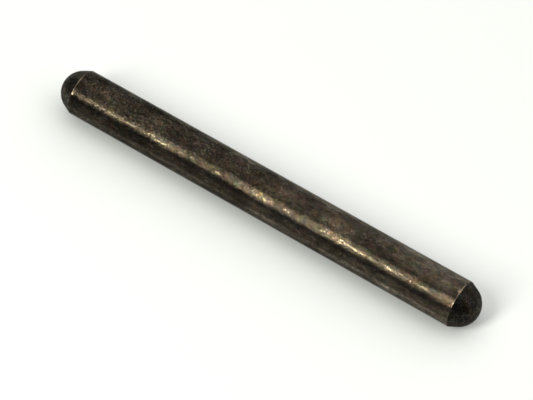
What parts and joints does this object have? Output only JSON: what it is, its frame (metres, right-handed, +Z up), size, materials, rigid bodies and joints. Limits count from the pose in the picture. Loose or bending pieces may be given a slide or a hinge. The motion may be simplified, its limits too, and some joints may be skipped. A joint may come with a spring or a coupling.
{
  "type": "clutch pin",
  "caption": "Slim round steel push pin with a ground shank, a lead-in cone and a dome at each end, dark and lightly worn.",
  "frame": {"origin": "on the pin's axis, half way between the two dome tips", "axes": "+X along the pin's axis, which lies level; +Z up; the pin is the same all round its axis"},
  "size_m": [0.06, 0.006, 0.006],
  "materials": {
    "dark_steel": "dark brown-black oxide film on ground steel: glossy and mottled along the shank, matt on the turned ends"
  },
  "bodies": {
    "root": {"clutch_pin": "dark_steel"}
  },
  "joints": []
}
